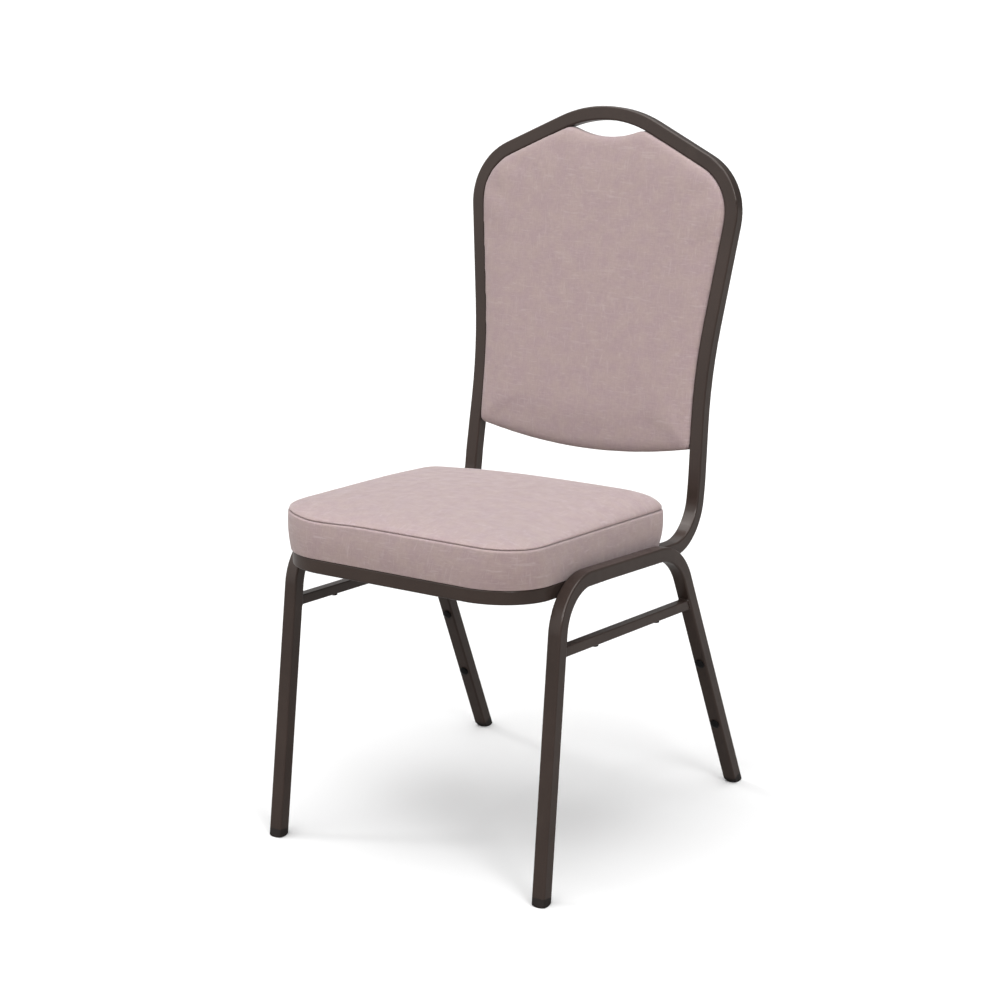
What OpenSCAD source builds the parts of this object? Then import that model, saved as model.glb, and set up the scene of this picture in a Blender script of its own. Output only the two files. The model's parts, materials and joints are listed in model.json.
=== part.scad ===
// Stacking banquet chair: bent square-tube steel frame with an upholstered seat and crown back.
// Millimetres, +Z up, chair faces -Y. Origin: on the floor, at the centre of the bounding box.
// Left means the -X side, right means the +X side.

/* [Steel tube] */
// Outside width of the square frame tube
tube = 19.05; // [15:0.05:25]
// Wall thickness of the frame tube
tube_wall = 1.5; // [1:0.1:2.5]
// Outside corner radius of the frame tube
tube_r = 2.5; // [1:0.1:4]
// Outside width of the square stretcher tube
rod = 13.6; // [10:0.1:16]
// Wall thickness of the stretcher tube
rod_wall = 1.2; // [0.8:0.1:2]
// Outside corner radius of the stretcher tube
rod_r = 1.6; // [1:0.1:3]

/* [Leg frames] */
// Lean of the front leg, foot forward, degrees from upright
front_lean = 6.9; // [0:0.1:15]
// Lean of the rear leg, foot backward, degrees from upright
rear_lean = 24.6; // [10:0.1:30]
// Fall of the top rail toward the rear, degrees
rail_fall = 4.26; // [0:0.01:8]
// Front-to-back distance between the front faces of the feet on the floor
foot_pitch = 512.6; // [400:0.1:600]
// Height of the top rail's underside, carried forward to the front foot
rail_height = 401.5; // [350:0.1:450]
// Centreline bend radius at the top of the front leg
front_bend = 65; // [40:1:120]
// Centreline bend radius at the top of the rear leg
rear_bend = 85; // [40:1:120]
// Half spacing of the leg frames at the front foot
leg_half = 208.7; // [180:0.1:240]
// Sideways splay of each leg frame, degrees
leg_splay = 0.69; // [0:0.01:3]
// Toe-out of each leg frame toward the rear, degrees
leg_toe = 0.52; // [0:0.01:3]
// Height of the steel above the floor where the glides start
glide_height = 11; // [6:0.5:20]

/* [Stretchers] */
// Height of the stretcher's underside, carried forward to the front foot
stretcher_height = 317.6; // [200:0.5:360]
// Fall of the stretcher toward the rear, degrees
stretcher_fall = 3.55; // [0:0.05:8]
// Front-to-back places of the two bumper buttons under each stretcher
stretcher_bumper_y = [139, 295]; // [100:1:330]
// Heights of the two bumper buttons on each rear leg
leg_bumper_z = [204.5, 102.9]; // [60:0.5:260]

/* [Seat frame] */
// Distance from the front feet back to the seat frame's front face (negative is forward)
seat_front = -20.7; // [-60:0.1:20]
// Height of the seat frame's underside at the front
seat_z = 389.9; // [350:0.1:430]
// Fall of the seat toward the rear, degrees
seat_fall = 3.66; // [0:0.01:8]
// Outside corner radius of the seat frame's front corners
seat_corner = 80.2; // [40:0.1:120]
// Centreline radius of the bend from seat rail to back post
post_bend = 66; // [40:1:120]
// Length of seat rail left on the back frame tube ahead of that bend
rail_stub = 42; // [20:1:100]

/* [Back frame] */
// Distance from the front feet back to the back frame's front plane, at floor level
back_y = 377.4; // [300:0.1:450]
// Recline of the back, degrees
recline = 8.03; // [4:0.01:15]
// Top of the crown, measured up the back plane
crown_top = 957.7; // [850:0.1:1050]
// Centreline radius of the crown arc
crown_r = 168.3; // [100:0.1:250]
// Slope of the straight crown shoulders, degrees
crown_slope = 25.46; // [15:0.01:35]
// Length of the straight crown shoulders
crown_len = 94.1; // [50:0.1:140]
// Centreline radius of the outer shoulder bends
shoulder_r = 79.1; // [40:0.1:120]
// Outward flare of the upper posts, degrees
flare = 6.94; // [0:0.01:15]
// Length of the flared upper posts
flare_len = 139.1; // [80:0.1:200]
// Centreline radius of the waist bends
waist_r = 873.1; // [300:0.1:1200]
// Outward flare of the lower posts, degrees
low_flare = 2.09; // [0:0.01:5]
// Centreline radius that brings the lower posts upright
low_r = 600; // [200:1:900]

/* [Seat cushion] */
// Overhang of the cushion past the seat frame at the sides
cushion_side = 3.5; // [0:0.1:10]
// Overhang of the cushion past the seat frame at the front
cushion_front = 5; // [0:0.1:15]
// Front-to-back length of the cushion
cushion_len = 376.5; // [300:0.5:450]
// Plan radius of the front corners
cushion_r1 = 76; // [30:1:120]
// Plan radius of the rear corners
cushion_r2 = 28; // [10:1:80]
// Height of the seam above the seat frame's underside
seam_z = 72.4; // [50:0.1:90]
// Height of the cushion's top above the seat frame's underside
cushion_top = 86; // [70:0.1:110]
// Rounding of the cushion's top edge
cushion_edge = 16; // [5:0.5:25]
// Thickness of the seat board
seat_ply = 12; // [6:0.5:18]
// How far the seat board's edge stands in from the cushion's side
board_inset = 6.5; // [2:0.5:15]
// Thickness of the upholstery fabric
fabric = 1.2; // [0.6:0.1:3]

/* [Back pad] */
// Gap between the pad and the frame tube
pad_gap = 0.8; // [0.3:0.1:3]
// Height of the lowest point of the pad, measured up the back plane
pad_bottom = 484; // [430:0.5:560]
// Radius of the pad's curved lower edge
pad_sweep = 763; // [300:1:2000]
// Height of the handle slot's lowest point, measured up the back plane
slot_bottom = 915; // [880:0.5:930]
// Radius of the pad's dipped top edge under the handle slot
slot_r = 140; // [60:1:300]
// How far the front pad stands proud of the frame tube
pad_proud = 12; // [2:0.5:25]
// Depth from the tube's front face to the back board
board_y = 5; // [2:0.5:8]
// Thickness of the back board
back_ply = 8; // [4:0.5:10]
// Depth from the tube's front face to the outside of the rear panel
rear_y = 21; // [19:0.1:24]

/* [Show] */
// Which piece to draw

/* [Hidden] */
$fn = 64;

steel = [0.25, 0.21, 0.19];
zinc = [0.72, 0.72, 0.74];
rubber = [0.07, 0.07, 0.07];
plastic = [0.12, 0.11, 0.10];
cloth = [0.70, 0.62, 0.61];
foam = [0.90, 0.86, 0.72];
wood = [0.78, 0.63, 0.44];
felt = [0.10, 0.10, 0.11];

half = tube / 2;
y_mid = 254.4;
slip = 0.01;

// leg frame: where the centrelines meet, in the frame's own upright plane [y, z]
front_y0 = half / cos(front_lean);
rear_y0 = foot_pitch + half / cos(rear_lean);
rail_z0 = rail_height + half / cos(rail_fall);
knee_y = (front_y0 + rail_z0 * tan(front_lean)) / (1 + tan(rail_fall) * tan(front_lean));
knee_z = rail_z0 - knee_y * tan(rail_fall);
hip_y = (rear_y0 - rail_z0 * tan(rear_lean)) / (1 - tan(rail_fall) * tan(rear_lean));
hip_z = rail_z0 - hip_y * tan(rail_fall);
knee_turn = 90 - front_lean + rail_fall;
hip_turn = 90 - rail_fall - rear_lean;
knee_t = front_bend * tan(knee_turn / 2);
hip_t = rear_bend * tan(hip_turn / 2);
front_len = (knee_z - glide_height) / cos(front_lean) - knee_t;
rail_len = (hip_y - knee_y) / cos(rail_fall) - knee_t - hip_t;
rear_len = (hip_z - glide_height) / cos(rear_lean) - hip_t;

// back frame: centreline corner points in the back plane [x, s]
s0 = crown_top - half;
x1 = crown_r * sin(crown_slope);
s1 = s0 - crown_r * (1 - cos(crown_slope));
x2 = x1 + crown_len * cos(crown_slope);
s2 = s1 - crown_len * sin(crown_slope);
x3 = x2 + shoulder_r * (cos(flare) - sin(crown_slope));
s3 = s2 - shoulder_r * (cos(crown_slope) + sin(flare));
x4 = x3 - flare_len * sin(flare);
s4 = s3 - flare_len * cos(flare);
x5 = x4 - waist_r * (cos(low_flare) - cos(flare));
s5 = s4 - waist_r * (sin(low_flare) + sin(flare));

// seat rail and back post centrelines, crossing in side view
seat_d = [cos(seat_fall), -sin(seat_fall)];
post_u = [sin(recline), cos(recline)];
rail_c = [seat_front + half * sin(seat_fall), seat_z + half * cos(seat_fall)];
post_c = [back_y + half * cos(recline), -half * sin(recline)];
gap_w = post_c - rail_c;
den = seat_d[0] * post_u[1] - seat_d[1] * post_u[0];
cross_y = (gap_w[0] * post_u[1] - gap_w[1] * post_u[0]) / den;
cross_s = (gap_w[0] * seat_d[1] - gap_w[1] * seat_d[0]) / den;
post_turn = 90 - recline + seat_fall;
post_t = post_bend * tan(post_turn / 2);
post_len = 12;
low_len = (s5 - low_r * sin(low_flare) - cross_s - post_t - post_len) / cos(low_flare);
post_x = x5 + low_len * sin(low_flare) + low_r * (1 - cos(low_flare));
joint_y = cross_y - post_t - rail_stub;
side_w = post_x + half;

// seat hardware places, in the seat plane
tab_x = post_x - half - 17;
tab_y = [112, 300];
tab_z = 10.5;
tab_thick = 3;
cross_rail_y = 336;

// ---------- helpers ----------
module place() {
  translate([0, -y_mid, 0]) children();
}

module both_sides() {
  children();
  mirror([1, 0, 0]) children();
}

module rounded_square(size, r) {
  square([size - 2 * r, size], center = true);
  square([size, size - 2 * r], center = true);
  for (x = [-1, 1], y = [-1, 1])
    translate([x * (size / 2 - r), y * (size / 2 - r)]) circle(r, $fn = 32);
}

module hollow_section(size, wall, r) {
  difference() {
    rounded_square(size, r);
    rounded_square(size - 2 * wall, r - wall + 0.2);
  }
}

// a run of frame tube: [length] is straight, [radius, turn, roll] is a bend;
// each straight is a hair slimmer than the bends and runs a little way into them, so the run is one solid
module tube_path(run, i = 0) {
  if (i < len(run)) {
    if (len(run[i]) == 1) {
      translate([0, 0, i == 0 ? 0 : -30 * slip])
        linear_extrude(run[i][0] + (i == 0 || i == len(run) - 1 ? 30 : 60) * slip)
          hollow_section(tube - 2 * slip, tube_wall - 2 * slip, tube_r);
      translate([0, 0, run[i][0]]) tube_path(run, i + 1);
    } else {
      rotate([0, 0, run[i][2]]) {
        translate([run[i][0], 0, 0])
          rotate([90, 0, 180])
            rotate_extrude(angle = run[i][1])
              translate([run[i][0], 0])
                hollow_section(tube, tube_wall, tube_r);
        translate([run[i][0], 0, 0])
          rotate([0, run[i][1], 0])
            translate([-run[i][0], 0, 0])
              tube_path(run, i + 1);
      }
    }
  }
}

module seat_plane() {
  translate([0, seat_front, seat_z]) rotate([-seat_fall, 0, 0]) children();
}

module back_plane() {
  translate([0, back_y, 0]) rotate([-recline, 0, 0]) children();
}

// flat outline drawn in x, s and pushed rearward from depth y0 to y1 behind the tube's front face
module slab(y0, y1) {
  translate([0, y1, 0]) rotate([90, 0, 0]) linear_extrude(y1 - y0) children();
}

module right_leg_plane() {
  translate([leg_half, 0, 0]) rotate([0, -leg_splay, -leg_toe]) children();
}

// ---------- leg frames ----------
module leg_frame_tube() {
  difference() {
    translate([0, front_y0 + glide_height * tan(front_lean), glide_height])
      rotate([-front_lean, 0, 0])
        rotate([0, 0, 90])
          tube_path([[front_len], [front_bend, knee_turn, 0], [rail_len],
            [rear_bend, hip_turn, 0], [rear_len]]);
    for (z = leg_bumper_z) on_rear_leg(z) translate([0, 0, -tube_wall - 1]) cylinder(d = 6, h = 4);
  }
}

// frame with +Z out of the rear leg's front face, at height z
module on_rear_leg(z) {
  translate([0, foot_pitch - z * tan(rear_lean), z]) rotate([90 + rear_lean, 0, 0]) children();
}

module on_stretcher(y) {
  translate([0, y, stretcher_height - y * tan(stretcher_fall)])
    rotate([180 - stretcher_fall, 0, 0]) children();
}

module stretcher_tube() {
  z0 = stretcher_height + rod / 2 / cos(stretcher_fall);
  difference() {
    intersection() {
      translate([0, 0, z0])
        rotate([-90 - stretcher_fall, 0, 0])
          linear_extrude(460) hollow_section(rod, rod_wall, rod_r);
      rotate([90, 0, 90])
        linear_extrude(40, center = true)
          polygon([for (p = [[0, 260], [1, 260], [1, 360], [0, 360]])
            [p[0] == 0 ? tube / cos(front_lean) + p[1] * tan(front_lean)
              : foot_pitch - p[1] * tan(rear_lean), p[1]]]);
    }
    for (y = stretcher_bumper_y) on_stretcher(y) translate([0, 0, -rod_wall - 1]) cylinder(d = 5, h = 4);
  }
}

// ---------- feet and bumpers ----------
module glide(y, lean) {
  intersection() {
    translate([0, y, 0])
      rotate([-lean, 0, 0]) {
        translate([0, 0, -12]) linear_extrude(12 + glide_height / cos(lean)) rounded_square(tube, tube_r);
        translate([0, 0, glide_height / cos(lean)])
          linear_extrude(15) rounded_square(tube - 2 * tube_wall - 0.3, 1);
      }
    union() {
      translate([0, y, 14.4]) sphere(r = 17.2, $fn = 96);
      translate([-20, y - 20, 7]) cube([40, 60, 40]);
    }
  }
}

module button(d, rise, stud_d, stud) {
  intersection() {
    cylinder(d = d, h = rise);
    translate([0, 0, rise - d]) sphere(r = d);
  }
  translate([0, 0, -stud]) cylinder(d = stud_d, h = stud + 0.5);
}

// ---------- seat ----------
module cushion_plan(inset = 0) {
  w = side_w + cushion_side - inset;
  r1 = cushion_r1 - inset;
  r2 = cushion_r2 - inset;
  y0 = -cushion_front + inset;
  y1 = cushion_len - cushion_front - inset;
  translate([-w, y0 + r1]) square([2 * w, y1 - r2 - y0 - r1]);
  translate([-w + r1, y0]) square([2 * (w - r1), r1 + 1]);
  translate([-w + r2, y1 - r2 - 1]) square([2 * (w - r2), r2 + 1]);
  for (s = [-1, 1]) {
    translate([s * (w - r1), y0 + r1]) circle(r1, $fn = 128);
    translate([s * (w - r2), y1 - r2]) circle(r2, $fn = 96);
  }
}

// section through the cushion's edge, from x = 0 out to r, with the rounded top edge
module cushion_section(r, z0, top, e) {
  translate([0, z0]) square([r - e, top - z0]);
  translate([0, z0]) square([r, top - e - z0]);
  translate([r - e, top - e]) intersection() {
    circle(e, $fn = 96);
    square(e + 1);
  }
}

// cushion body from z0 to the rounded top, drawn in by inset all round
module cushion_body(z0, inset) {
  w = side_w + cushion_side - inset;
  r1 = cushion_r1 - inset;
  r2 = cushion_r2 - inset;
  y0 = -cushion_front + inset;
  y1 = cushion_len - cushion_front - inset;
  e = cushion_edge - inset;
  top = cushion_top - inset;
  translate([r1 - w, y0 + r1, z0]) cube([2 * (w - r1), y1 - r2 - y0 - r1, top - z0]);
  for (s = [-1, 1]) {
    translate([s * (w - r1), y0 + r1, 0]) rotate([0, 0, s > 0 ? -90 : 180])
      rotate_extrude(angle = 90) cushion_section(r1, z0, top, e);
    translate([s * (w - r2), y1 - r2, 0]) rotate([0, 0, s > 0 ? 0 : 90])
      rotate_extrude(angle = 90) cushion_section(r2, z0, top, e);
    translate([s * (w - r1), s > 0 ? y1 - r2 : y0 + r1, 0]) rotate([90, 0, s > 0 ? 0 : 180])
      linear_extrude(y1 - r2 - y0 - r1) cushion_section(r1, z0, top, e);
  }
  translate([r1 - w, y0 + r1, 0]) rotate([90, 0, -90]) mirror([0, 0, 1])
    linear_extrude(2 * (w - r1)) cushion_section(r1, z0, top, e);
  translate([r2 - w, y1 - r2, 0]) rotate([90, 0, 90])
    linear_extrude(2 * (w - r2)) cushion_section(r2, z0, top, e);
}

module at_seat_tabs() {
  for (s = [-1, 1], y = tab_y) translate([s * tab_x, y, 0]) children();
}

// ---------- back ----------
module pad_outline(inset = 0) {
  c = half + pad_gap + inset;
  n1 = [sin(crown_slope), cos(crown_slope)];
  n3 = [cos(flare), -sin(flare)];
  n5 = [cos(low_flare), sin(low_flare)];
  low_s = 470;
  low_x = x5 + (s5 - low_s) * tan(low_flare);
  right = [[low_x, low_s] - c * n5, [x5, s5] - c * n5, [x4, s4] - c * n3, [x3, s3] - c * n3,
    [x2, s2] - c * n1, [x1, s1] - c * n1];
  left = [for (i = [len(right) - 1:-1:0]) [-right[i][0], right[i][1]]];
  intersection() {
    difference() {
      union() {
        polygon(concat(right, left));
        translate([0, s0 - crown_r]) circle(crown_r - c - slip, $fn = 256);
        for (s = [-1, 1])
          translate([s * (x2 - shoulder_r * n1[0]), s2 - shoulder_r * n1[1]])
            circle(shoulder_r - c - slip, $fn = 160);
      }
      for (s = [-1, 1])
        translate([s * (x4 + waist_r * n3[0]), s4 + waist_r * n3[1]])
          circle(waist_r + c - slip, $fn = 360);
      translate([0, slot_bottom + slot_r]) circle(slot_r + inset, $fn = 200);
    }
    translate([0, pad_bottom + pad_sweep]) circle(pad_sweep - inset, $fn = 400);
  }
}

// frame with +Z into the pad from a post's inner face, +X up the post
module on_upper_post(d) {
  translate([x3 - d * sin(flare), 0, s3 - d * cos(flare)])
    rotate([0, flare, 0]) translate([-half, 0, 0]) children();
}

module on_lower_post(d) {
  translate([x5 + d * sin(low_flare), 0, s5 - d * cos(low_flare)])
    rotate([0, -low_flare, 0]) translate([-half, 0, 0]) children();
}

module at_back_tabs() {
  both_sides() {
    on_upper_post(62) children();
    on_lower_post(12) children();
  }
}

// ---------- pieces ----------
module back_frame_tube() {
  color(steel) place() back_plane() both_sides()
    translate([0, half, s0]) rotate([0, 90, 0])
      tube_path([[crown_r, crown_slope, 0], [crown_len],
        [shoulder_r, 90 + flare - crown_slope, 0], [flare_len],
        [waist_r, flare + low_flare, 180], [low_len],
        [low_r, low_flare, 180], [post_len], [post_bend, post_turn, -90], [rail_stub]]);
}

module seat_frame_tube() {
  r = seat_corner - half;
  color(steel) place() seat_plane()
    translate([-post_x, joint_y, half]) rotate([90, 0, 0])
      tube_path([[joint_y - seat_corner], [r, 90, 0], [2 * (post_x - r)], [r, 90, 0],
        [joint_y - seat_corner]]);
}

module right_leg_frame() {
  color(steel) place() right_leg_plane() leg_frame_tube();
}

module left_leg_frame() {
  color(steel) mirror([1, 0, 0]) place() right_leg_plane() leg_frame_tube();
}

module right_stretcher() {
  color(steel) place() right_leg_plane() stretcher_tube();
}

module left_stretcher() {
  color(steel) mirror([1, 0, 0]) place() right_leg_plane() stretcher_tube();
}

module weld_spacers() {
  place() difference() {
    seat_plane() for (y = [140, 225, 312]) translate([side_w, y - 17, tube - 8]) cube([12, 34, 6]);
    right_leg_plane() translate([-half, -100, 300]) cube([60, 700, 200]);
  }
}

module right_weld_spacers() {
  color(steel) weld_spacers();
}

module left_weld_spacers() {
  color(steel) mirror([1, 0, 0]) weld_spacers();
}

module rear_cross_rail() {
  color(steel) place() seat_plane()
    translate([half - post_x, cross_rail_y, half]) rotate([0, 90, 0])
      linear_extrude(2 * (post_x - half)) hollow_section(tube, tube_wall, tube_r);
}

module seat_mount_tabs() {
  color(steel) place() seat_plane() both_sides() for (y = tab_y)
    difference() {
      translate([tab_x - 15, y - 16, tab_z]) cube([32, 32, tab_thick]);
      translate([tab_x, y, tab_z - 1]) cylinder(d = 7, h = 6);
    }
}

module back_mount_tabs() {
  color(steel) place() back_plane() at_back_tabs()
    difference() {
      translate([-24, board_y + back_ply, -9]) cube([24, 3, 18]);
      translate([-14, board_y + back_ply - 1, 0]) rotate([-90, 0, 0]) cylinder(d = 5, h = 6);
    }
}

module above_floor() {
  intersection() {
    children();
    translate([-400, -400, 0]) cube([800, 800, 100]);
  }
}

module front_right_glide() {
  color(plastic) above_floor() place() right_leg_plane() glide(front_y0, front_lean);
}

module front_left_glide() {
  color(plastic) mirror([1, 0, 0]) above_floor() place() right_leg_plane() glide(front_y0, front_lean);
}

module rear_right_glide() {
  color(plastic) above_floor() place() right_leg_plane() glide(rear_y0, -rear_lean);
}

module rear_left_glide() {
  color(plastic) mirror([1, 0, 0]) above_floor() place() right_leg_plane() glide(rear_y0, -rear_lean);
}

module rear_leg_bumpers() {
  color(rubber) place() both_sides() right_leg_plane() for (z = leg_bumper_z)
    on_rear_leg(z) button(13, 4, 5.6, 4);
}

module stretcher_bumpers() {
  color(rubber) place() both_sides() right_leg_plane() for (y = stretcher_bumper_y)
    on_stretcher(y) button(10, 3.6, 4.6, 4);
}

module seat_board() {
  color(wood) place() seat_plane() difference() {
    translate([0, 0, tube]) linear_extrude(seat_ply) cushion_plan(board_inset);
    at_seat_tabs() translate([0, 0, tube - 1]) cylinder(d = 8, h = seat_ply + 2);
  }
}

module seat_foam() {
  color(foam) place() seat_plane() difference() {
    cushion_body(tube + seat_ply, fabric + 0.1);
    at_seat_tabs() translate([0, 0, tube + seat_ply - 1]) cylinder(d = 19, h = 2.4);
  }
}

module seat_top_cover() {
  color(cloth) place() seat_plane() difference() {
    cushion_body(seam_z + 0.1, 0);
    cushion_body(seam_z - 1, fabric);
  }
}

module seat_side_band() {
  color(cloth) place() seat_plane() translate([0, 0, tube]) linear_extrude(seam_z - tube) difference() {
    cushion_plan(0);
    cushion_plan(fabric);
  }
}

module seat_dust_cover() {
  w = post_x - half - 3;
  color(felt) place() seat_plane() difference() {
    translate([-w, tube + 3, tube - 0.8]) cube([2 * w, cross_rail_y - half - tube - 6, 0.8]);
    at_seat_tabs() translate([0, 0, tube - 2]) cylinder(d = 9, h = 4);
    for (s = [-1, 1])
      translate([s * (w - seat_corner + tube + 12), tube + 3, tube]) rotate([0, 0, s * 45])
        translate([-60, -58, -2]) cube([120, 60, 4]);
  }
}

module seat_screws() {
  color(zinc) place() seat_plane() at_seat_tabs() {
    translate([0, 0, tab_z - 1.2 - 4]) cylinder(d = 10.5, h = 4);
    translate([0, 0, tab_z - 1.2 - 0.5]) cylinder(d = 6, h = tube + seat_ply - tab_z);
  }
}

module seat_washers() {
  color(zinc) place() seat_plane() at_seat_tabs() translate([0, 0, tab_z - 1.2]) difference() {
    cylinder(d = 14, h = 1.2);
    translate([0, 0, -1]) cylinder(d = 6.4, h = 4);
  }
}

module seat_tee_nuts() {
  color(zinc) place() seat_plane() at_seat_tabs() difference() {
    union() {
      translate([0, 0, tube + seat_ply]) cylinder(d = 18, h = 1.2);
      translate([0, 0, tube + seat_ply - 9]) cylinder(d = 7.8, h = 9.5);
    }
    translate([0, 0, tube]) cylinder(d = 6.2, h = seat_ply + 4);
  }
}

module back_board() {
  color(wood) place() back_plane() difference() {
    slab(board_y, board_y + back_ply) pad_outline(fabric + 0.1);
    at_back_tabs() translate([-14, board_y, 0]) rotate([-90, 0, 0]) cylinder(d = 4, h = 12);
  }
}

module back_front_foam() {
  color(foam) place() back_plane() slab(fabric + 0.1 - pad_proud, board_y) pad_outline(fabric + 0.1);
}

module back_front_cover() {
  color(cloth) place() back_plane() difference() {
    slab(-pad_proud, board_y + back_ply) pad_outline(0);
    slab(fabric - pad_proud, board_y + back_ply + 1) pad_outline(fabric);
  }
}

module back_rear_foam() {
  y0 = board_y + back_ply;
  color(foam) place() back_plane() difference() {
    slab(y0, rear_y - fabric - 0.1) pad_outline(fabric + 0.1);
    at_back_tabs() translate([-26, y0 - 1, -11]) cube([30, 6.4, 22]);
  }
}

module back_rear_cover() {
  y0 = board_y + back_ply;
  color(cloth) place() back_plane() difference() {
    slab(y0 + 0.1, rear_y) pad_outline(0);
    slab(y0 - 1, rear_y - fabric) pad_outline(fabric);
    at_back_tabs() translate([-26, y0 - 1, -11]) cube([30, 6.4, 22]);
  }
}

module back_screws() {
  y0 = board_y + back_ply;
  color(zinc) place() back_plane() at_back_tabs() translate([-14, y0 + 3, 0]) rotate([-90, 0, 0]) {
    cylinder(d = 8.4, h = 2.2);
    translate([0, 0, -10]) cylinder(d = 3.8, h = 10.5);
  }
}

back_frame_tube();
seat_frame_tube();
left_leg_frame();
right_leg_frame();
left_stretcher();
right_stretcher();
left_weld_spacers();
right_weld_spacers();
rear_cross_rail();
seat_mount_tabs();
back_mount_tabs();
front_left_glide();
front_right_glide();
rear_left_glide();
rear_right_glide();
rear_leg_bumpers();
stretcher_bumpers();
seat_board();
seat_foam();
seat_top_cover();
seat_side_band();
seat_dust_cover();
seat_screws();
seat_washers();
seat_tee_nuts();
back_board();
back_front_foam();
back_rear_foam();
back_front_cover();
back_rear_cover();
back_screws();
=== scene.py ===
import json
import math
import bpy
import numpy as np
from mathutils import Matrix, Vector
from mathutils.kdtree import KDTree


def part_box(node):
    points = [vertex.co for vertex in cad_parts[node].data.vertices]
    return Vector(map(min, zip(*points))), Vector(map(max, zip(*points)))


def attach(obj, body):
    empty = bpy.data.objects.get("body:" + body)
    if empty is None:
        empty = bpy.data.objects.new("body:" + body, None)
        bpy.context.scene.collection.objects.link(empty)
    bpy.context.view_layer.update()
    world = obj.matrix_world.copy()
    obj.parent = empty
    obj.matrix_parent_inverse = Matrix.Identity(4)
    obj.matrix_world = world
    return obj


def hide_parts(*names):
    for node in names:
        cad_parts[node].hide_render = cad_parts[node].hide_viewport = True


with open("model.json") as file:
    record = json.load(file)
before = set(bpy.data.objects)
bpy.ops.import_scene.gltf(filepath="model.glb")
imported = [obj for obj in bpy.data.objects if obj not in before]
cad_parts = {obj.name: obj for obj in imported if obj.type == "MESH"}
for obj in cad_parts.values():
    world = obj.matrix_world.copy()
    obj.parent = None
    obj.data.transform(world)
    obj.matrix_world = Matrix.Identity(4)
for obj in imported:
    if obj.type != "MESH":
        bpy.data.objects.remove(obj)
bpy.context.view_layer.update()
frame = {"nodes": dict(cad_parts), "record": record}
scene = bpy.context.scene
nodes = frame["nodes"]

# ---------------------------------------------------------------- the chair's planes, in millimetres
Y_MID = 254.4
TUBE = 19.05
HALF = TUBE / 2
SEAT_Y, SEAT_Z, SEAT_FALL = -20.7 - Y_MID, 389.9, math.radians(3.66)
BACK_Y, RECLINE = 377.4 - Y_MID, math.radians(8.03)
LEG_X, SPLAY, TOE = 208.7, math.radians(0.69), math.radians(0.52)


def seat_point(x, y, h):
    """Seat plane: x across, y back from the seat frame's front face, h up from its underside."""
    c, s = math.cos(SEAT_FALL), math.sin(SEAT_FALL)
    return Vector((x, SEAT_Y + y * c + h * s, SEAT_Z - y * s + h * c)) / 1000


def back_point(x, s, w):
    """Back plane: x across, s up the back, w forward of the frame tube's front face."""
    c, n = math.cos(RECLINE), math.sin(RECLINE)
    return Vector((x, BACK_Y + s * n - w * c, s * c + w * n)) / 1000


def leg_point(side, u, y, z):
    """Leg plane: u outward from the leg's centre plane, y back from the front feet, z up."""
    x1 = u * math.cos(SPLAY) - z * math.sin(SPLAY)
    z1 = u * math.sin(SPLAY) + z * math.cos(SPLAY)
    x2 = x1 * math.cos(TOE) + y * math.sin(TOE)
    y2 = -x1 * math.sin(TOE) + y * math.cos(TOE)
    return Vector((side * (LEG_X + x2), y2 - Y_MID, z1)) / 1000


# ---------------------------------------------------------------- node material helpers
def new_material(name):
    mat = bpy.data.materials.new(name)
    mat.use_nodes = True
    tree = mat.node_tree
    tree.nodes.clear()
    out = tree.nodes.new("ShaderNodeOutputMaterial")
    bsdf = tree.nodes.new("ShaderNodeBsdfPrincipled")
    tree.links.new(bsdf.outputs["BSDF"], out.inputs["Surface"])
    return mat, tree, bsdf


def set_in(node, **values):
    for key, value in values.items():
        node.inputs[key.replace("_", " ")].default_value = value
    return node


def noise(tree, vec, scale, detail=3.0, rough=0.55, stretch=None, distort=0.0):
    if stretch:
        m = tree.nodes.new("ShaderNodeMapping")
        m.inputs["Scale"].default_value = stretch
        tree.links.new(vec, m.inputs["Vector"])
        vec = m.outputs["Vector"]
    n = tree.nodes.new("ShaderNodeTexNoise")
    n.inputs["Scale"].default_value = scale
    n.inputs["Detail"].default_value = detail
    n.inputs["Roughness"].default_value = rough
    n.inputs["Distortion"].default_value = distort
    tree.links.new(vec, n.inputs["Vector"])
    return n.outputs["Fac"]


def ramp(tree, fac, lo, hi, a=(0, 0, 0, 1), b=(1, 1, 1, 1)):
    r = tree.nodes.new("ShaderNodeValToRGB")
    r.color_ramp.elements[0].position = lo
    r.color_ramp.elements[1].position = hi
    r.color_ramp.elements[0].color = a
    r.color_ramp.elements[1].color = b
    tree.links.new(fac, r.inputs["Fac"])
    return r.outputs["Color"]


def feed(tree, sock, value):
    """Give a socket a number or a colour, or link it to another node's output."""
    if isinstance(value, (int, float, tuple)):
        sock.default_value = value
    else:
        tree.links.new(value, sock)


def mix(tree, fac, a, b):
    m = tree.nodes.new("ShaderNodeMix")
    m.data_type = "RGBA"
    for sock, value in ((m.inputs[0], fac), (m.inputs[6], a), (m.inputs[7], b)):
        feed(tree, sock, value)
    return m.outputs[2]


def math_node(tree, op, a, b):
    m = tree.nodes.new("ShaderNodeMath")
    m.operation = op
    feed(tree, m.inputs[0], a)
    feed(tree, m.inputs[1], b)
    return m.outputs[0]


def shade(colour, factor):
    """A colour brightened or darkened by a factor, as the four numbers a node wants."""
    return tuple(c * factor for c in colour) + (1,)


def grey(level):
    return (level, level, level, 1)


def bump(tree, bsdf, height, strength, distance):
    b = tree.nodes.new("ShaderNodeBump")
    b.inputs["Strength"].default_value = strength
    b.inputs["Distance"].default_value = distance
    tree.links.new(height, b.inputs["Height"])
    tree.links.new(b.outputs["Normal"], bsdf.inputs["Normal"])


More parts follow.
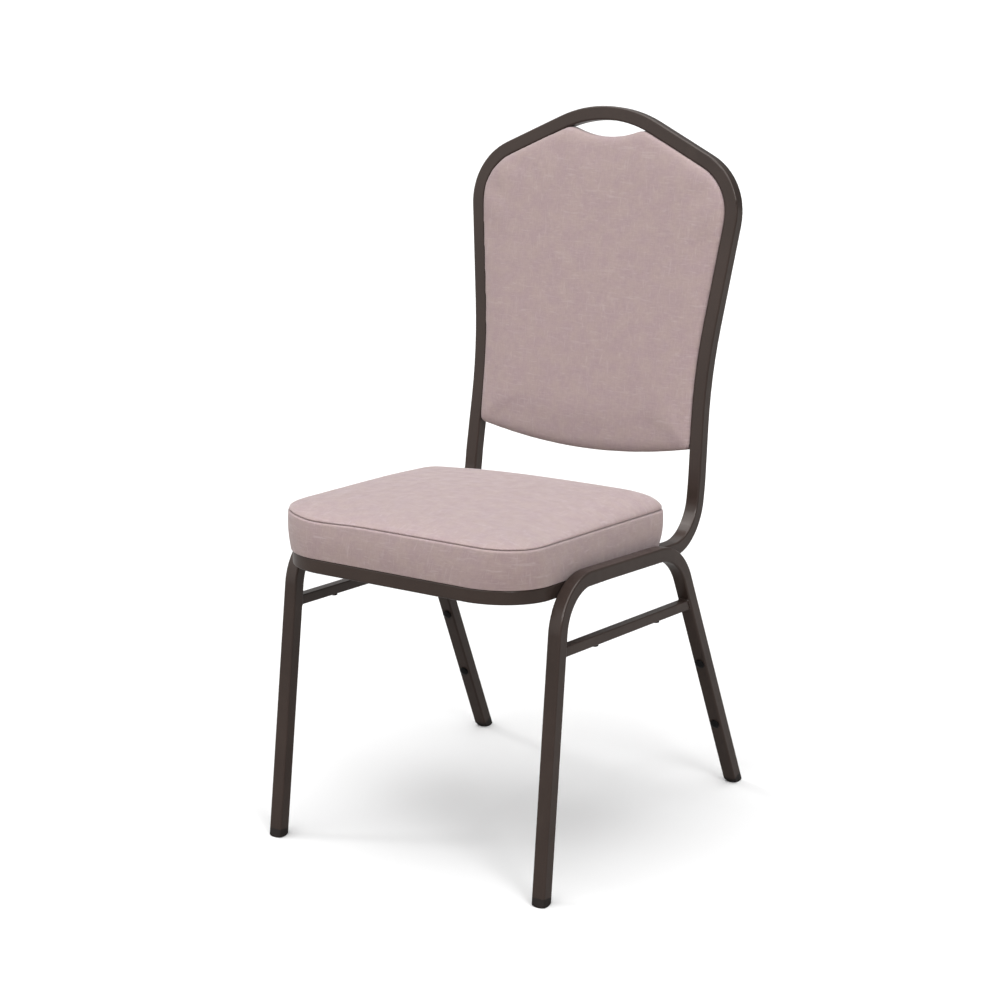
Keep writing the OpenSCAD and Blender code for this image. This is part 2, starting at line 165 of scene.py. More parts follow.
def object_coords(tree):
    return tree.nodes.new("ShaderNodeTexCoord").outputs["Object"]


def fabric(name, base, slub=0.46):
    """Heathered plain weave with light slub threads both ways. Its UV map is in metres along the threads."""
    mat, t, bsdf = new_material(name)
    uv = t.nodes.new("ShaderNodeUVMap")
    uv.uv_map = "weave"
    vec = uv.outputs["UV"]
    dark, light = shade(base, 0.87), shade(base, 1.12)
    pale = (base[0] * 1.32, base[1] * 1.42, base[2] * 1.50, 1)
    tan = (base[0] * 0.99, base[1] * 0.98, base[2] * 0.90, 1)
    mauve = (base[0] * 0.88, base[1] * 0.83, base[2] * 0.87, 1)
    heather_h = ramp(t, noise(t, vec, 1.0, 3.0, 0.6, (120, 420, 1), 0.4), 0.32, 0.68)
    heather_v = ramp(t, noise(t, vec, 1.0, 3.0, 0.6, (420, 120, 1), 0.4), 0.32, 0.68)
    both = mix(t, 0.5, heather_h, heather_v)
    col = mix(t, both, dark, light)
    hue = ramp(t, noise(t, vec, 42.0, 4.0, 0.6), 0.40, 0.60, tan, mauve)
    col = mix(t, 0.40, col, hue)
    slub_h = ramp(t, noise(t, vec, 1.0, 2.0, 0.5, (46, 300, 1), 1.1), 0.57, 0.74)
    slub_v = ramp(t, noise(t, vec, 1.0, 2.0, 0.5, (300, 46, 1), 1.1), 0.59, 0.76)
    threads = math_node(t, "MAXIMUM", slub_h, slub_v)
    col = mix(t, math_node(t, "MULTIPLY", threads, slub), col, pale)
    t.links.new(col, bsdf.inputs["Base Color"])
    warp_and_weft = []
    for direction in "XY":
        wave = t.nodes.new("ShaderNodeTexWave")
        wave.bands_direction = direction
        set_in(wave, Scale=262.0, Distortion=1.2, Detail=1.0)
        t.links.new(vec, wave.inputs["Vector"])
        warp_and_weft.append(wave.outputs["Color"])
    check = t.nodes.new("ShaderNodeTexChecker")
    check.inputs["Scale"].default_value = 834.0
    t.links.new(vec, check.inputs["Vector"])
    weave = mix(t, check.outputs["Fac"], *warp_and_weft)
    height = mix(t, 0.35, weave, threads)
    bump(t, bsdf, height, 0.55, 0.00035)
    rough = ramp(t, both, 0.2, 0.8, grey(0.80), grey(0.95))
    t.links.new(rough, bsdf.inputs["Roughness"])
    fuzz = ramp(t, noise(t, vec, 60.0, 4.0, 0.6), 0.35, 0.65, grey(0.28), grey(0.54))
    t.links.new(fuzz, bsdf.inputs["Sheen Weight"])
    set_in(bsdf, Sheen_Roughness=0.42)
    bsdf.inputs["Sheen Tint"].default_value = (1.0, 0.96, 0.96, 1)
    bsdf.inputs["Specular IOR Level"].default_value = 0.22
    return mat


def powder_coat(name, base):
    """Bronze-brown powder coat: cloudy colour, fine flake, long lighter streaks of painted highlight, a satin
    body under a thin clearer skin.
    """
    mat, t, bsdf = new_material(name)
    vec = object_coords(t)
    cloudy = ramp(t, noise(t, vec, 9.0, 3.0), 0.35, 0.68)
    col = mix(t, cloudy, shade(base, 0.86), shade(base, 1.14))
    flake = ramp(t, noise(t, vec, 1500.0, 1.0, 0.4), 0.60, 0.74)
    col = mix(t, math_node(t, "MULTIPLY", flake, 0.30), col, (0.105, 0.064, 0.044, 1))
    # Long upright streaks of lighter warm brown along the tubes: a painted highlight laid at random, not wear
    painted_glint_streaks = ramp(t, noise(t, vec, 1.0, 4.0, 0.6, (26, 26, 7)), 0.60, 0.80)
    col = mix(t, math_node(t, "MULTIPLY", painted_glint_streaks, 0.30), col, (0.078, 0.058, 0.048, 1))
    t.links.new(col, bsdf.inputs["Base Color"])
    rough = ramp(t, noise(t, vec, 60.0, 4.0), 0.3, 0.7, grey(0.30), grey(0.42))
    t.links.new(rough, bsdf.inputs["Roughness"])
    bump(t, bsdf, noise(t, vec, 520.0, 2.0), 0.05, 0.0002)
    bsdf.inputs["Specular IOR Level"].default_value = 0.24
    bsdf.inputs["Specular Tint"].default_value = (1.0, 0.90, 0.84, 1)
    set_in(bsdf, Coat_Weight=0.55, Coat_Roughness=0.16, Coat_IOR=1.40)
    bsdf.inputs["Coat Tint"].default_value = (1.0, 0.97, 0.95, 1)
    return mat


def moulded(name, base, rough, spec):
    """Moulded rubber or plastic: a fine-grained skin with faint upright scuffs."""
    mat, t, bsdf = new_material(name)
    vec = object_coords(t)
    col = mix(t, ramp(t, noise(t, vec, 40.0), 0.3, 0.7), shade(base, 0.8), shade(base, 1.25))
    scuff = ramp(t, noise(t, vec, 1.0, 4.0, 0.6, (160, 160, 900)), 0.62, 0.75)
    col = mix(t, math_node(t, "MULTIPLY", scuff, 0.3), col, tuple(c * 3 + 0.006 for c in base) + (1,))
    t.links.new(col, bsdf.inputs["Base Color"])
    r = ramp(t, noise(t, vec, 120.0), 0.3, 0.7, grey(rough[0]), grey(rough[1]))
    t.links.new(r, bsdf.inputs["Roughness"])
    bump(t, bsdf, noise(t, vec, 1400.0, 2.0), 0.12, 0.0002)
    bsdf.inputs["Specular IOR Level"].default_value = spec
    return mat


def plywood(name):
    """Pale veneer with its grain running front to back, and short dark pores."""
    mat, t, bsdf = new_material(name)
    vec = object_coords(t)
    grain = noise(t, vec, 1.0, 5.0, 0.6, (140, 9, 140))
    col = ramp(t, grain, 0.30, 0.72, (0.33, 0.21, 0.11, 1), (0.62, 0.45, 0.27, 1))
    pores = ramp(t, noise(t, vec, 1.0, 2.0, 0.5, (900, 60, 900)), 0.60, 0.72)
    col = mix(t, math_node(t, "MULTIPLY", pores, 0.35), col, (0.22, 0.13, 0.07, 1))
    t.links.new(col, bsdf.inputs["Base Color"])
    set_in(bsdf, Roughness=0.72)
    bump(t, bsdf, grain, 0.2, 0.0003)
    return mat


def felt(name, base):
    """Dull matted fibre, for the dust cover and anything dark inside the upholstery."""
    mat, t, bsdf = new_material(name)
    vec = object_coords(t)
    fibre = noise(t, vec, 1.0, 4.0, 0.7, (420, 900, 420))
    col = ramp(t, fibre, 0.35, 0.7, shade(base, 0.6), shade(base, 2.2))
    t.links.new(col, bsdf.inputs["Base Color"])
    set_in(bsdf, Roughness=0.95, Sheen_Weight=0.1)
    bump(t, bsdf, fibre, 0.4, 0.0004)
    return mat


def zinc(name):
    """Zinc-plated steel, for the screws, the washers, the tee nuts and the staples."""
    mat, t, bsdf = new_material(name)
    vec = object_coords(t)
    col = ramp(t, noise(t, vec, 220.0, 3.0), 0.3, 0.7, (0.50, 0.50, 0.52, 1), (0.70, 0.69, 0.66, 1))
    t.links.new(col, bsdf.inputs["Base Color"])
    r = ramp(t, noise(t, vec, 500.0), 0.3, 0.7, grey(0.28), grey(0.45))
    t.links.new(r, bsdf.inputs["Roughness"])
    bump(t, bsdf, noise(t, vec, 1800.0, 2.0), 0.1, 0.0001)
    set_in(bsdf, Metallic=1.0)
    return mat


CLOTH = (0.432, 0.338, 0.338)
seat_cloth = fabric("seat_cloth", CLOTH)
back_cloth = fabric("back_cloth", CLOTH, slub=0.30)
paint = powder_coat("bronze_powder_coat", (0.0375, 0.0266, 0.0228))
black_rubber = moulded("black_rubber", (0.004, 0.004, 0.0045), (0.34, 0.46), spec=0.22)
brown_plastic = moulded("brown_plastic", (0.016, 0.0125, 0.0115), (0.42, 0.58), spec=0.28)
ply = plywood("birch_plywood")
black_felt = felt("black_felt", (0.016, 0.016, 0.018))
zinc_plate = zinc("zinc_plate")

by_slot = {
    "frame_paint": paint,
    "bumper_rubber": black_rubber,
    "glide_plastic": brown_plastic,
    "plywood": ply,
    "dust_felt": black_felt,
    "zinc": zinc_plate,
    "seat_fabric": seat_cloth,
    "back_fabric": back_cloth,
    "foam": black_felt,
}
for part in frame["record"]["subparts"]:
    obj = nodes[part["node"]]
    obj.data.materials.clear()
    obj.data.materials.append(by_slot[part["material_slot"]])


# ---------------------------------------------------------------- mesh helpers
def make_mesh(name, verts, faces, mat):
    me = bpy.data.meshes.new(name)
    me.from_pydata([tuple(v) for v in verts], [], faces)
    me.update()
    ob = bpy.data.objects.new(name, me)
    scene.collection.objects.link(ob)
    me.materials.append(mat)
    me.polygons.foreach_set("use_smooth", [True] * len(me.polygons))
    return ob


def coords(ob):
    co = np.empty(len(ob.data.vertices) * 3)
    ob.data.vertices.foreach_get("co", co)
    return co.reshape(-1, 3)


def put_coords(ob, co):
    ob.data.vertices.foreach_set("co", np.asarray(co, float).ravel())
    ob.data.update()


def bake(ob):
    """Replace an object's mesh by what its modifiers make of it."""
    dg = bpy.context.evaluated_depsgraph_get()
    me = bpy.data.meshes.new_from_object(ob.evaluated_get(dg), depsgraph=dg)
    old, mats = ob.data, list(ob.data.materials)
    ob.modifiers.clear()
    ob.data = me
    me.materials.clear()
    for m in mats:
        me.materials.append(m)
    me.polygons.foreach_set("use_smooth", [True] * len(me.polygons))
    bpy.data.meshes.remove(old)


def remesh(ob, size):
    mod = ob.modifiers.new("remesh", "REMESH")
    mod.mode = "VOXEL"
    mod.voxel_size = size
    mod.use_smooth_shade = True
    bake(ob)


def subdivide(ob):
    mod = ob.modifiers.new("smooth", "SUBSURF")
    mod.levels = mod.render_levels = 1
    bake(ob)


def set_uv(ob):
    """A UV map in metres along the cloth's threads, from each point's place across and along a flat pad."""
    uv = ob.data.uv_layers.new(name="weave")
    flat = coords(ob)[:, :2]
    idx = np.empty(len(ob.data.loops), np.int32)
    ob.data.loops.foreach_get("vertex_index", idx)
    uv.data.foreach_set("uv", flat[idx].ravel())


def puff(ob, held, pressure, cap, frames=20):
    """Cloth simulation under air pressure. held marks the points that stay, and cap is the farthest that
    another point may move, in metres."""
    start = coords(ob)
    group = ob.vertex_groups.new(name="held")
    group.add([int(i) for i in np.nonzero(held)[0]], 1.0, "REPLACE")
    mod = ob.modifiers.new("cloth", "CLOTH")
    st = mod.settings
    st.quality = 6
    st.mass = 0.25
    st.tension_stiffness = st.compression_stiffness = 40
    st.shear_stiffness = 30
    st.bending_stiffness = 60
    st.use_pressure = True
    st.uniform_pressure_force = pressure
    st.vertex_group_mass = "held"
    st.effector_weights.gravity = 0
    mod.point_cache.frame_start, mod.point_cache.frame_end = 1, frames
    for f in range(1, frames + 1):
        scene.frame_set(f)
    dg = bpy.context.evaluated_depsgraph_get()
    ev = ob.evaluated_get(dg)
    co = np.empty(len(ev.data.vertices) * 3)
    ev.data.vertices.foreach_get("co", co)
    move = co.reshape(-1, 3) - start
    far = np.linalg.norm(move, axis=1, keepdims=True)
    move *= cap * np.tanh(far / cap) / np.maximum(far, 1e-9)
    ob.modifiers.clear()
    ob.vertex_groups.clear()
    put_coords(ob, start + move)
    scene.frame_set(1)


def relax(ob, times, keep=None):
    """Move each point halfway to the middle of its neighbours, or less by its share of keep."""
    n = len(ob.data.vertices)
    e = np.empty(len(ob.data.edges) * 2, np.int32)
    ob.data.edges.foreach_get("vertices", e)
    e = e.reshape(-1, 2)
    deg = np.bincount(e.ravel(), minlength=n)[:, None].clip(1)
    co = coords(ob)
    w = 0.5 if keep is None else 0.5 * (1 - keep[:, None])
    for _ in range(times):
        acc = np.zeros_like(co)
        np.add.at(acc, e[:, 0], co[e[:, 1]])
        np.add.at(acc, e[:, 1], co[e[:, 0]])
        co = co + w * (acc / deg - co)
    put_coords(ob, co)


def nearest(outline, pts):
    """Distance inside a closed outline, its nearest index, and the outline's outward normals."""
    nxt, prv = np.roll(outline, -1, 0), np.roll(outline, 1, 0)
    tan = nxt - prv
    nrm = np.stack([tan[:, 1], -tan[:, 0]], 1)
    nrm /= np.linalg.norm(nrm, axis=1, keepdims=True)
    area = 0.5 * np.sum(outline[:, 0] * nxt[:, 1] - nxt[:, 0] * outline[:, 1])
    if area < 0:
        nrm = -nrm
    kd = KDTree(len(outline))
    for i, p in enumerate(outline):
        kd.insert((p[0], p[1], 0), i)
    kd.balance()
    idx = np.array([kd.find((p[0], p[1], 0))[1] for p in pts])
    d = np.einsum("ij,ij->i", outline[idx] - pts, nrm[idx])
    return d, idx, nrm


def smoothstep(x):
    x = np.clip(x, 0, 1)
    return x * x * (3 - 2 * x)


def pillow(name, outline, low, high, mid, rim, rise, under_rim, under_rise, voxel, mat, power=1.0):
    """A closed pad from an outline: a slab from low to high, remeshed, then rounded about mid, where it is
    widest. Above mid its edge rolls over a rim wide and rise high, and below mid by under_rim and under_rise.
    mid, rim, rise and under_rise may vary along the outline, and a power over 1 makes the upper roll less full.
    The pad comes back in slab coordinates."""
    n = len(outline)
    verts = [(x, y, low) for x, y in outline] + [(x, y, high) for x, y in outline]
    faces = [tuple(range(n - 1, -1, -1)), tuple(range(n, 2 * n))]
    faces += [(i, (i + 1) % n, n + (i + 1) % n, n + i) for i in range(n)]
    ob = make_mesh(name, np.array(verts) / 1000, faces, mat)
    remesh(ob, voxel / 1000)
    co = coords(ob) * 1000
    d, idx, nrm = nearest(outline, co[:, :2])
    mid, rim, rise, under_rise = (np.broadcast_to(np.asarray(a, float), (n,))[idx]
                                  for a in (mid, rim, rise, under_rise))
    out = co.copy()
    h = co[:, 2]
    top = h > mid
    wall = d < voxel * 0.45
    run = np.where(wall, np.abs(h - mid), np.where(top, high - mid, mid - low) + d)
    width = np.where(top, rim, under_rim)
    tall = np.where(top, rise, under_rise)
    full = np.where(top, high - mid, mid - low) + width
    a = np.clip(run / full, 0, 1) * math.pi / 2
    p = np.where(top, power, 1.0)
    inset = np.where(run < full, width * (1 - np.cos(a) ** p), d)
    lift = np.where(run < full, tall * np.sin(a) ** p, tall)
    edge = run < full
    out[:, 2] = np.where(top, mid + lift, mid - lift)
    out[:, :2] = np.where(edge[:, None], co[:, :2] + nrm[idx] * (d - inset)[:, None], co[:, :2])
    put_coords(ob, out / 1000)
    relax(ob, 40, keep=smoothstep((22 - d) / 12))
    return ob


# ---------------------------------------------------------------- seat cushion
def cushion_outline(front, side, back, r1, r1_left, r2, n_side=80, n1=44, n2=24):
    """Plan outline in the seat plane, from the middle of the rear edge round the +X side."""
    pts = []

    def line(a, b, n):
        pts.extend((a[0] + (b[0] - a[0]) * i / n, a[1] + (b[1] - a[1]) * i / n) for i in range(n))

    def arc(cx, cy, r, a0, a1, n):
        for i in range(n):
            a = math.radians(a0 + (a1 - a0) * i / n)
            pts.append((cx + r * math.cos(a), cy + r * math.sin(a)))

    line((0, back), (side - r2, back), n_side // 2)
    arc(side - r2, back - r2, r2, 90, 0, n2)
    line((side, back - r2), (side, front + r1), n_side)
    arc(side - r1, front + r1, r1, 0, -90, n1)
    line((side - r1, front), (-side + r1_left, front), n_side)
    arc(-side + r1_left, front + r1_left, r1_left, -90, -180, n1)
    line((-side, front + r1_left), (-side, back - r2), n_side)
    arc(-side + r2, back - r2, r2, 180, 90, n2)
    line((-side + r2, back), (0, back), n_side // 2)
    return np.array(pts)


# The cushion's plan at the seat frame and at the seam, then its heights and how far its upper edge rolls in.
BASE_EDGE = dict(front=-1.6, side=191.6, back=369.5, r1=77.0, r1_left=76.0, r2=28.0)
SEAM_EDGE = dict(front=-9.6, side=196.4, back=372.5, r1=60.0, r1_left=86.0, r2=33.0)
SEAM_H, ROLL, RISE, CROWN, REAR_LIFT = 72.4, 38.0, 9.3, 11.7, 10.4


def sag(x, y, h):
    """The front seam's slight dip left of the middle, faded out above and below it."""
    near = np.exp(-(((x + 108) / 42) ** 2) - ((y + 5) / 50) ** 2)
    fade = np.clip((h - 24) / 40, 0, 1) * np.clip((90 - h) / 15, 0, 1)
    return -2.8 * near * fade


def edge_at(f, grow=0.0):
    """The cushion's plan a share f of the way from its base to its seam, moved outward by grow."""
    v = {k: BASE_EDGE[k] + (SEAM_EDGE[k] - BASE_EDGE[k]) * f for k in BASE_EDGE}
    o = cushion_outline(**v)
    if grow:
        _, _, nrm = nearest(o, o[:1])
        o = o + nrm * grow
    return o


def build_seat_top():
    outline = edge_at(1.0, 0.4)
    mid = SEAM_H + 1.6
    ob = pillow("seat_cushion_top", outline, low=SEAM_H - 4, high=SEAM_H + 12, mid=mid, rim=ROLL, rise=RISE,
                under_rim=5.0, under_rise=3.2, voxel=4.2, mat=seat_cloth, power=4 / 3)
    co = coords(ob) * 1000
    x, y = co[:, 0], co[:, 1]
    front, back, side = SEAM_EDGE["front"], SEAM_EDGE["back"], SEAM_EDGE["side"]
    part = np.clip((co[:, 2] - mid) / RISE, 0, 1)
    fx = 1 - np.clip(np.abs(x) / side, 0, 1) ** 1.7
    fy = 1 - np.clip(np.abs(2 * y - front - back) / (back - front), 0, 1) ** 1.7
    rear = REAR_LIFT * (1 + 0.4 * x / side) * smoothstep((y - 20) / (back - 20))
    corner = 2.6 * np.exp(-(((x + 150) / 50) ** 2) - ((y - 330) / 60) ** 2)
    co[:, 2] += CROWN * fx * fy * np.minimum(part * 4, 1) + (rear - corner) * part
    co[:, 2] += sag(x, y, co[:, 2])
    put_coords(ob, co / 1000)
    relax(ob, 6)
    puff(ob, coords(ob)[:, 2] * 1000 < SEAM_H + 1.0, 3.0, 0.0012)
    relax(ob, 6)
    subdivide(ob)
    set_uv(ob)
    put_coords(ob, [seat_point(*p) for p in coords(ob) * 1000])
    return ob


def build_boxing():
    """The cushion's side band, swept round its plan. A row is a share of the way from base to seam, how far
    the row stands out from the plan, and its height. The rows start with the flap turned in under the board, go
    up the wall and end with the edge tucked in at the seam."""
    rows = []
    flap, tuck, turn, fold, bulge = 27.0, 11.0, 1.8, 2.6, 2.0
    foot, inner = 21.0, 20.0
    lo, hi = TUBE - 0.2 + turn, SEAM_H - fold
    for inset in (flap, 20.0, 12.0, 5.0):
        rows.append((0.0, -inset, lo - turn))
    for a in (90, 60, 30, 0):
        rows.append((0.0, -turn + turn * math.cos(math.radians(a)), lo - turn * math.sin(math.radians(a))))
    wall = 22
    for i in range(1, wall + 1):
        f = i / wall
        rows.append((f, bulge * math.sin(math.pi * f), lo + (hi - lo) * f))
    for a in (25, 50, 75, 90):
        a = math.radians(a)
        rows.append((1.0, -fold + fold * math.cos(a), hi + 2.4 * math.sin(a)))
    rows.append((1.0, -tuck, SEAM_H - 0.2))
    outs = [edge_at(f) for f, _, _ in rows]
    _, _, nrm = nearest(outs[-1], outs[-1][:1])
    n = len(outs[0])
    seam = outs[-1]
    arc = np.concatenate([[0], np.cumsum(np.linalg.norm(np.roll(seam, -1, 0) - seam, axis=1))])
    rng = np.random.default_rng(7)
    ripple = np.zeros(n)
    for k, amp in ((5, 0.25), (9, 0.2), (17, 0.14), (31, 0.08)):
        ripple += amp * np.sin(2 * math.pi * k * arc[:-1] / arc[-1] + rng.uniform(0, 6.28))
    from_rear = np.minimum(arc[:-1], arc[-1] - arc[:-1])
    closing_seam = -1.1 * np.exp(-((from_rear / 2.2) ** 2))
    verts = []
    for (f, grow, h), o in zip(rows, outs):
        mid = math.sin(math.pi * min(max((h - foot) / (SEAM_H - foot), 0), 1))
        g = grow + (ripple * mid + closing_seam * (h > foot))
        for p in o + nrm * np.asarray(g)[:, None]:
            verts.append(seat_point(p[0], p[1], h + sag(p[0], p[1], h)))
    m = len(rows)
    faces, uvs = [], []
    steps = [math.hypot(b[1] - a[1], b[2] - a[2]) for a, b in zip(rows, rows[1:])]
    length = np.concatenate([[0], np.cumsum(steps), [0]])
    length[m] = length[m - 1] + (SEAM_H - inner)
    for j in range(m):
        k = (j + 1) % m
        for i in range(n):
            i2 = (i + 1) % n
            faces.append((j * n + i2, j * n + i, k * n + i, k * n + i2))
            u0, u1 = arc[i] / 1000, arc[i + 1] / 1000
            v0, v1 = length[j] / 1000, length[j + 1] / 1000
            uvs += [u1, v0, u0, v0, u0, v1, u1, v1]
    ob = make_mesh("seat_cushion_boxing", verts, faces, seat_cloth)
    ob.data.uv_layers.new(name="weave").data.foreach_set("uv", uvs)
    return ob


seat_top = build_seat_top()
boxing = build_boxing()
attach(seat_top, "root")
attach(boxing, "root")
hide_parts("seat_top_cover", "seat_foam")
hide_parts("seat_side_band")


# ---------------------------------------------------------------- back pad
CROWN_R, CROWN_SLOPE, CROWN_LEN = 168.3, math.radians(25.46), 94.1
SHOULDER_R, FLARE, FLARE_LEN = 79.1, math.radians(6.94), 139.1
WAIST_R, LOW_FLARE = 873.1, math.radians(2.09)
CROWN_TOP, SLOT_BOTTOM, SLOT_R, PAD_BOTTOM, PAD_SWEEP = 957.7, 916.4, 140.0, 481.8, 763.0
PAD_FIT, BOARD_REAR, REAR_MID = 0.15, 13.0, 17.0


def inner_line(off, step=1.5):
    """The right half of the back frame's centreline, moved inward by off, from the crown down."""
    x, s, a = 0.0, CROWN_TOP - HALF, 0.0
    pts = []
    shoulder_turn, lower_run = math.pi / 2 + FLARE - CROWN_SLOPE, 90.0
    for kind, size, turn in (("arc", CROWN_R, -CROWN_SLOPE), ("line", CROWN_LEN, 0),
                             ("arc", SHOULDER_R, -shoulder_turn), ("line", FLARE_LEN, 0),
                             ("arc", WAIST_R, FLARE + LOW_FLARE), ("line", lower_run, 0)):
        run = size if kind == "line" else size * abs(turn)
        n = max(2, int(run / step))
        for _ in range(n):
            pts.append((x + off * math.sin(a), s - off * math.cos(a)))
            a += turn / n / 2
            x += run / n * math.cos(a)
            s += run / n * math.sin(a)
            a += turn / n / 2
    return pts


def pad_outline(off):
    """Closed outline of the back pad, clockwise from the slot's lowest point, and each point's kind:
    0 along the tube, 1 on the slot, 2 on the lower edge."""
    slot_c, sweep_c = SLOT_BOTTOM + SLOT_R, PAD_BOTTOM + PAD_SWEEP
    right = [p for p in inner_line(off)
             if math.hypot(p[0], p[1] - slot_c) > SLOT_R and math.hypot(p[0], p[1] - sweep_c) < PAD_SWEEP]
    top, low = right[0], right[-1]
    n = 44
    slot = [(top[0] * i / n, slot_c - math.sqrt(SLOT_R ** 2 - (top[0] * i / n) ** 2)) for i in range(n)]
    n = 120
    sweep = [(low[0] * (1 - i / n), sweep_c - math.sqrt(PAD_SWEEP ** 2 - (low[0] * (1 - i / n)) ** 2))
             for i in range(1, n + 1)]
    half = slot + right + sweep
    kind = [1] * len(slot) + [0] * len(right) + [2] * len(sweep)
    left = [(-x, s) for x, s in half[-2:0:-1]]
    return np.array(half + left), np.array(kind + kind[-2:0:-1])


def along(kind, values, span=61):
    """One value per kind of edge, blended where the kinds meet."""
    v = np.array(values, float)[kind]
    k = np.ones(span) / span
    return np.convolve(np.concatenate([v[-span:], v, v[:span]]), k, "same")[span:-span]


def square_wall(ob, outline, full, none, reach=5.5, gap=0.3, snap=1.6):
    """Draw a pad's wall, rounded by relax, out to gap from its outline again: fully at height full, where it
    hides the board's edge, and fading out at height none. Points nearer than snap to full move to it."""
    co = coords(ob) * 1000
    d, idx, nrm = nearest(outline, co[:, :2])
    part = smoothstep((co[:, 2] - none) / (full - none)) * smoothstep((reach - d) / 2)
    co[:, :2] += nrm[idx] * (np.clip(d - gap, 0, None) * part)[:, None]
    co[:, 2] += (full - co[:, 2]) * part * (np.abs(co[:, 2] - full) < snap)
    put_coords(ob, co / 1000)


def dome(co):
    """1 in the middle of the back pad, falling to 0 at its sides and ends."""
    fx = 1 - np.clip(np.abs(co[:, 0]) / 192, 0, 1) ** 2.6
    fs = 1 - np.clip(np.abs(co[:, 1] - 700) / 222, 0, 1) ** 2.6
    return fx * fs


def build_back_front():
    """The pad in front of the back board: its fabric goes round the board's edge and laps over the tube."""
    outline, kind = pad_outline(HALF + PAD_FIT)
    mid = np.array((1.2, -1.0, -5.0))
    ob = pillow("back_pad_front", outline, low=-BOARD_REAR, high=8.0, mid=along(kind, mid),
                rim=along(kind, (18.0, 14.0, 26.0)), rise=along(kind, (5.0, 6.6, 10.6)),
                under_rim=0.9, under_rise=along(kind, BOARD_REAR + mid), voxel=4.2, mat=back_cloth)
    co = coords(ob) * 1000
    d, idx, nrm = nearest(outline, co[:, :2])
    over_tube = 1.6 * smoothstep((co[:, 2] + 2.0) / 5.0) * smoothstep(1 - d / 14) * (kind[idx] == 0)
    co[:, :2] += nrm[idx] * over_tube[:, None]
    co[:, 2] += np.where(co[:, 2] > 0, 3.6 * dome(co), 0)
    co[:, 2] = np.maximum(co[:, 2], -BOARD_REAR)
    put_coords(ob, co / 1000)
    relax(ob, 3)
    puff(ob, coords(ob)[:, 2] < 0.0, 2.5, 0.0010)
    relax(ob, 3)
    subdivide(ob)
    square_wall(ob, outline, full=-BOARD_REAR, none=-4.0)
    set_uv(ob)
    put_coords(ob, [back_point(*p) for p in coords(ob) * 1000])
    return ob


def build_back_rear():
    """The thinner pad behind the back board, made facing forward and then turned to the rear."""
    outline, _ = pad_outline(HALF + PAD_FIT)
    low = BOARD_REAR + 0.2
    ob = pillow("back_pad_rear", outline, low=low, high=21.0, mid=REAR_MID, rim=8.0, rise=5.0,
                under_rim=1.0, under_rise=3.8, voxel=4.6, mat=back_cloth)
    co = coords(ob) * 1000
    co[:, 2] += np.where(co[:, 2] > REAR_MID + 0.2, 2.0 * dome(co), 0)
    put_coords(ob, co / 1000)
    relax(ob, 3)
    puff(ob, coords(ob)[:, 2] * 1000 < REAR_MID, 1.5, 0.0010)
    relax(ob, 3)
    subdivide(ob)
    square_wall(ob, outline, full=low, none=REAR_MID)
    set_uv(ob)
    put_coords(ob, [back_point(p[0], p[1], -p[2]) for p in coords(ob) * 1000])
    ob.data.flip_normals()
    return ob


back_front = build_back_front()
back_rear = build_back_rear()
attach(back_front, "root")
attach(back_rear, "root")
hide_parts("back_front_cover", "back_front_foam")
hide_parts("back_rear_cover", "back_rear_foam")


# ---------------------------------------------------------------- weld beads and staples
ROD, ROD_R, STRETCHER_Z, STRETCHER_FALL = 13.6, 1.6, 317.6, math.radians(3.55)
FRONT_LEAN, REAR_LEAN, FOOT_PITCH = math.radians(6.9), math.radians(24.6), 512.6
TAB_Y, TAB_HALF, TAB_H = (112, 300), 14.0, 10.5
SPACER_Y, SPACER_HALF, SPACER_H = (140, 225, 312), 15.0, TUBE - 8.3
RAIL_Y, RAIL_END = 336.0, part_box("rear_cross_rail")[1][0] * 1000


def resample(path, step):
    """Evenly spaced points along a path of points."""
    path = np.array([tuple(p) for p in path])
    far = np.concatenate([[0], np.cumsum(np.linalg.norm(np.diff(path, axis=0), axis=1))])
    at = np.linspace(0, far[-1], max(3, int(far[-1] / step) + 1))
    return np.stack([np.interp(at, far, path[:, k]) for k in range(3)], 1), at


def sweep(name, paths, radius, mat, ripple=0.0, sides=8, step=0.0006, pitch=0.0018):
    """Rods with rounded ends along paths in metres, swelling and shrinking by ripple every pitch."""
    rng = np.random.default_rng(11)
    verts, faces = [], []
    for path in paths:
        pts, at = resample(path, step)
        n = len(pts)
        tan = np.gradient(pts, axis=0)
        tan /= np.linalg.norm(tan, axis=1, keepdims=True)
        side = Vector(tan[0]).orthogonal().normalized()
        swell = 1 + ripple * np.sin(2 * math.pi * (at + 0.0003 * rng.normal(size=n)) / pitch)
        end = np.clip(np.minimum(at, at[-1] - at) / radius, 0, 1)
        width = radius * swell * np.sqrt(1 - (1 - end) ** 2).clip(0.05)
        base = len(verts)
        for i in range(n):
            t = Vector(tan[i])
            side = (side - t * side.dot(t)).normalized()
            up = t.cross(side)
            for k in range(sides):
                a = 2 * math.pi * k / sides
                verts.append(Vector(pts[i]) + (side * math.cos(a) + up * math.sin(a)) * width[i])
        for i in range(n - 1):
            for k in range(sides):
                a, b = base + i * sides + k, base + i * sides + (k + 1) % sides
                faces.append((a, b, b + sides, a + sides))
        faces.append(tuple(base + k for k in range(sides - 1, -1, -1)))
        faces.append(tuple(base + (n - 1) * sides + k for k in range(sides)))
    return make_mesh(name, verts, faces, mat)


